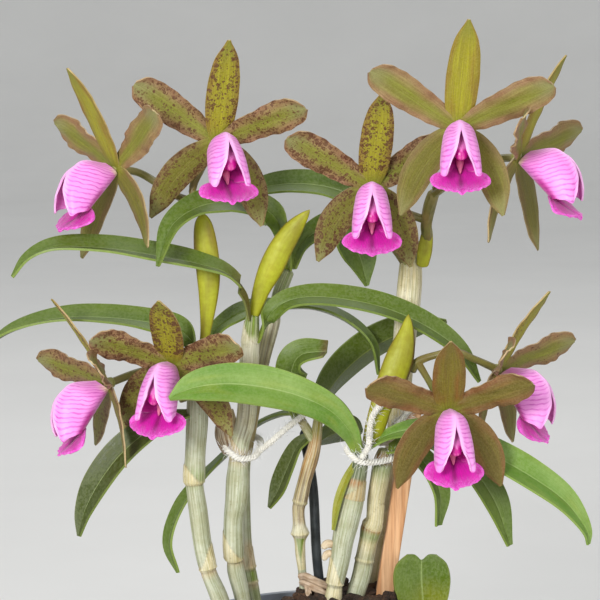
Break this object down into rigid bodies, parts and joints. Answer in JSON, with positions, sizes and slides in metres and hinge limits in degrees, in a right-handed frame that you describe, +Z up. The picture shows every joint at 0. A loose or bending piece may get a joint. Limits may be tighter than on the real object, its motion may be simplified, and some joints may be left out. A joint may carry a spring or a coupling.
{
  "type": "potted orchid plant",
  "caption": "Potted orchid with slender jointed canes, strap leaves and a ring of open olive-tan blooms with pink tubular lips, tied with twine to a wooden stake in a round bark-filled pot",
  "frame": {"origin": "centre of the pot's underside, where it rests on a surface", "axes": "+X to the right seen from the front, +Y to the back, +Z up along the pot's axis and the plant's height; the front is -Y"},
  "size_m": [0.2463, 0.115, 0.3292],
  "materials": {
    "pot_plastic": "moulded bluish grey plastic, satin",
    "bark": "rough dark bark chips, matte",
    "root": "papery whitish tan root skin, matte",
    "cane": "green-grey to straw skin with fine lengthwise lines, matte",
    "leaf": "leathery green leaf, soft sheen",
    "spathe": "yellow-green sheath, soft sheen",
    "flower_stalk": "olive brown stalk, soft sheen",
    "tepal": "olive green petal with tan margins and maroon spots, matte",
    "lip": "pink veined lip with a magenta front lobe, velvety matte",
    "stake_wood": "sawn peach-tan wood, lengthwise grain, matte",
    "stick_plastic": "dark grey plastic rod, satin",
    "twine": "fluffy white cotton twine, matte"
  },
  "bodies": {
    "root": {"pot": "pot_plastic", "bark": "bark", "roots": "root", "stake": "stake_wood", "support_stick": "stick_plastic", "cane_1": "cane", "cane_2": "cane", "cane_3": "cane", "cane_4": "cane", "cane_5": "cane", "cane_6": "cane", "cane_7": "cane", "leaf_1": "leaf", "leaf_2": "leaf", "leaf_3": "leaf", "leaf_4": "leaf", "leaf_5": "leaf", "leaf_6": "leaf", "leaf_7": "leaf", "leaf_8": "leaf", "leaf_9": "leaf", "leaf_10": "leaf", "leaf_11": "leaf", "leaf_12": "leaf", "leaf_13": "leaf", "leaf_14": "leaf", "leaf_15": "leaf", "leaf_16": "leaf", "leaf_17": "leaf", "leaf_18": "leaf", "leaf_19": "leaf", "spathe_1": "spathe", "spathe_2": "spathe", "spathe_3": "spathe", "spathe_4": "spathe", "stalk_1": "flower_stalk", "stalk_2": "flower_stalk", "stalk_3": "flower_stalk", "stalk_4": "flower_stalk", "bloom_1": "tepal", "bloom_2": "tepal", "bloom_3": "tepal", "bloom_4": "tepal", "bloom_5": "tepal", "bloom_6": "tepal", "bloom_7": "tepal", "bloom_8": "tepal", "bloom_9": "tepal", "lip_1": "lip", "lip_2": "lip", "lip_3": "lip", "lip_4": "lip", "lip_5": "lip", "lip_6": "lip", "lip_7": "lip", "lip_8": "lip", "lip_9": "lip", "tie_1": "twine", "tie_2": "twine"}
  },
  "joints": []
}
